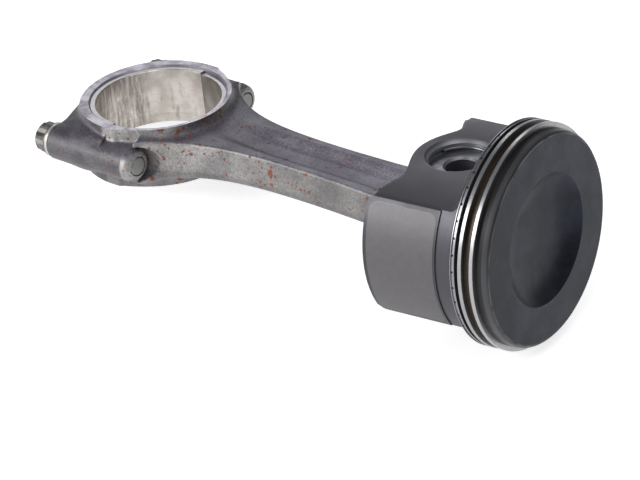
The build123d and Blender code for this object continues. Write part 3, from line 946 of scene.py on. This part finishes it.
def bowl_profile():
    """The crown's bowl as (along, radius) points, from its rim round the curved wall to its floor."""
    wall_width = BOWL_R - BOWL_FLOOR_R
    wall_r = (BOWL_DEPTH ** 2 + wall_width ** 2) / (2 * BOWL_DEPTH)
    floor_x = CROWN_X - BOWL_DEPTH
    steps = 14
    points = []
    for k in range(steps + 1):
        turn = np.arcsin(wall_width / wall_r) * (1 - k / steps)
        points.append((floor_x + wall_r * (1 - cos(turn)), BOWL_FLOOR_R + wall_r * sin(turn)))
    points.append((floor_x, 0))
    return points


def turned_profile():
    """The turned outside of the piston as (along, radius) points, from the skirt to the bowl."""
    points = [
        (SKIRT_LOW_X - 1.0, 0), (SKIRT_LOW_X - 1.0, PISTON_R - SKIRT_RELIEF),
        (SKIRT_LOW_X, PISTON_R - SKIRT_RELIEF), (SKIRT_LOW_X + 4.0, PISTON_R),
        (SKIRT_TOP_X, PISTON_R), (SKIRT_TOP_X, LAND_R - SKIRT_RELIEF),
        (BELT_LOW_X, LAND_R - SKIRT_RELIEF), (BELT_LOW_X, LAND_R),
    ]
    for low, height in RING_GROOVES:
        start, end = low - GROOVE_SIDE_GAP, low + height + GROOVE_SIDE_GAP
        points += [(start, LAND_R), (start, GROOVE_BOTTOM_R), (end, GROOVE_BOTTOM_R), (end, LAND_R)]
    edge_r = LAND_R - CROWN_CHAMFER_R
    points.append((CROWN_X - CROWN_CHAMFER_X, LAND_R))
    points += [(CROWN_X - CROWN_EDGE, edge_r), (CROWN_X, edge_r - CROWN_EDGE)]
    return points + bowl_profile()


def pin_bore_cutters():
    """The pin bore with its chamfered mouths, and the two circlip grooves."""
    mouth = BOSS_FACE_Z - PIN_BORE_CHAMFER
    wide = PIN_R + 4 * PIN_BORE_CHAMFER
    top = BOSS_FACE_Z + 3 * PIN_BORE_CHAMFER
    bore = lathe([(-top, 0), (-top, wide), (-mouth, PIN_R), (mouth, PIN_R), (top, wide), (top, 0)], 256)
    cutters = [bore]
    for side in (1, -1):
        section = []
        sides = 24
        for k in range(sides):
            angle = 2 * pi * k / sides
            section.append((CLIP_WIRE_R * sin(angle), CLIP_RING_R + CLIP_WIRE_R * cos(angle)))
        cutters.append(placed(lathe(section, 128), z=side * CLIP_Z))
    return cutters


def make_piston(finish):
    """The piston: cast, then turned, then bored for its pin and clips."""
    mesh = field_mesh(piston_field, (-22, -45, -45), (39.5, 45, 45), CAST_GRID)
    mesh = machine(mesh, [lathe(turned_profile(), 256, "X")], "INTERSECT")
    mesh = machine(mesh, pin_bore_cutters())
    piece = finish_piece("piston_casting", mesh, PISTON, [finish], sharp_deg=28)
    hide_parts("piston")
    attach(piece, "piston")


# ---------------------------------------------------------------- stage, lights and camera


def make_camera():
    """The view: from beside the piston crown, a little above, through a long lens."""
    azimuth, elevation, roll = radians(39.95), radians(34.05), radians(1.25)
    distance, lens_mm = 1.6973, 245.99
    target = Vector((0.09064, -0.00825, -0.01065))
    back = Vector((sin(azimuth) * cos(elevation), -cos(azimuth) * cos(elevation), sin(elevation)))
    camera = bpy.data.objects.new("camera", bpy.data.cameras.new("camera"))
    camera.data.lens = lens_mm
    camera.data.sensor_width = 36.0
    camera.data.clip_end = 20.0
    turn = back.to_track_quat("Z", "Y").to_matrix().to_4x4() @ Matrix.Rotation(roll, 4, "Z")
    camera.matrix_world = Matrix.Translation(target + back * distance) @ turn
    bpy.context.scene.collection.objects.link(camera)
    bpy.context.scene.camera = camera


FLOOR_HALF = 6.0
LIGHT_AIM = Vector((0.10, 0, 0))


def area_light(name, place, size, power):
    """A square soft box that faces the object."""
    data = bpy.data.lights.new(name, "AREA")
    data.size = size
    data.energy = power
    light = bpy.data.objects.new(name, data)
    light.location = place
    light.rotation_euler = (Vector(place) - LIGHT_AIM).to_track_quat("Z", "Y").to_euler()
    bpy.context.scene.collection.objects.link(light)


def make_stage():
    """A wide pale floor at the height that the assembly lies on."""
    low = CAD_BOX[0][2]
    corners = ((-1, -1), (1, -1), (1, 1), (-1, 1))
    mesh = mesh_of([(FLOOR_HALF * x, FLOOR_HALF * y, low) for x, y in corners], [(0, 1, 2, 3)])
    f = Finish("floor_finish", Matrix.Scale(MM, 4))
    tone = f.mix(f.noise(600, 2), (0.80, 0.80, 0.80, 1), (0.84, 0.84, 0.84, 1))
    f.set(Base_Color=tone, Roughness=0.9, Emission_Color=(1, 1, 1, 1), Emission_Strength=0.70)
    mesh.materials.append(f.material)
    floor = bpy.data.objects.new("floor", mesh)
    bpy.context.scene.collection.objects.link(floor)


def make_light():
    """Even pale surroundings, a key light from the near side, and weak top and rim lights."""
    world = bpy.data.worlds.new("world")
    world.use_nodes = True
    background = world.node_tree.nodes["Background"]
    background.inputs["Color"].default_value = (0.93, 0.96, 1.0, 1)
    background.inputs["Strength"].default_value = 0.26
    bpy.context.scene.world = world
    area_light("key", (-0.85, -1.35, 0.60), 0.7, 22)
    area_light("top", (0.5, -0.2, 1.7), 1.2, 7)
    area_light("rim", (-0.9, 0.8, 0.7), 0.5, 2)
    bpy.context.scene.view_settings.view_transform = "Standard"


# ---------------------------------------------------------------- the object

make_camera()
make_stage()
make_light()

rod_steel = forged_finish()
face_steel = machined_finish("machined_face_finish", ROD, (0.38, 0.36, 0.41, 1), (0.25, 0.235, 0.27, 1))
make_rod(rod_steel, face_steel)
make_cap(rod_steel, face_steel)
make_piston(piston_finish())

CAD_FINISHES = {
    "top_ring": ring_finish("top_ring_finish", (0.43, 0.43, 0.44, 1), 0.33),
    "second_ring": ring_finish("second_ring_finish", (0.39, 0.39, 0.40, 1), 0.34),
    "oil_ring": ring_finish("oil_ring_finish", (0.32, 0.32, 0.335, 1), 0.33),
    "oil_ring_expander": plain_steel_finish("spring_wire_finish", PISTON, (0.30, 0.30, 0.31, 1), 0.35),
    "wrist_pin": plain_steel_finish("pin_steel_finish", PIN, (0.30, 0.30, 0.33, 1), 0.42),
    "upper_circlip": plain_steel_finish("clip_wire_finish", PISTON, (0.20, 0.20, 0.21, 1), 0.35),
    "small_end_bush": plain_steel_finish("bush_bronze_finish", PIN, (0.42, 0.27, 0.12, 1), 0.35),
    # The rod shell's lining is a painted-shade copy of the cap shell's, at 0.42 of its colour.
    "rod_bearing_shell": shell_finish("rod_lining_shaded_finish", 0.42, ROD_SHELL_HALF_Z),
    "cap_bearing_shell": shell_finish("cap_lining_finish", 1.0, CAP_SHELL_HALF_Z),
    "near_cap_bolt": bolt_finish(),
}
CAD_FINISHES["lower_circlip"] = CAD_FINISHES["upper_circlip"]
CAD_FINISHES["far_cap_bolt"] = CAD_FINISHES["near_cap_bolt"]
for node_name, material in CAD_FINISHES.items():
    node = frame["nodes"][node_name]
    node.data.materials.clear()
    node.data.materials.append(material)
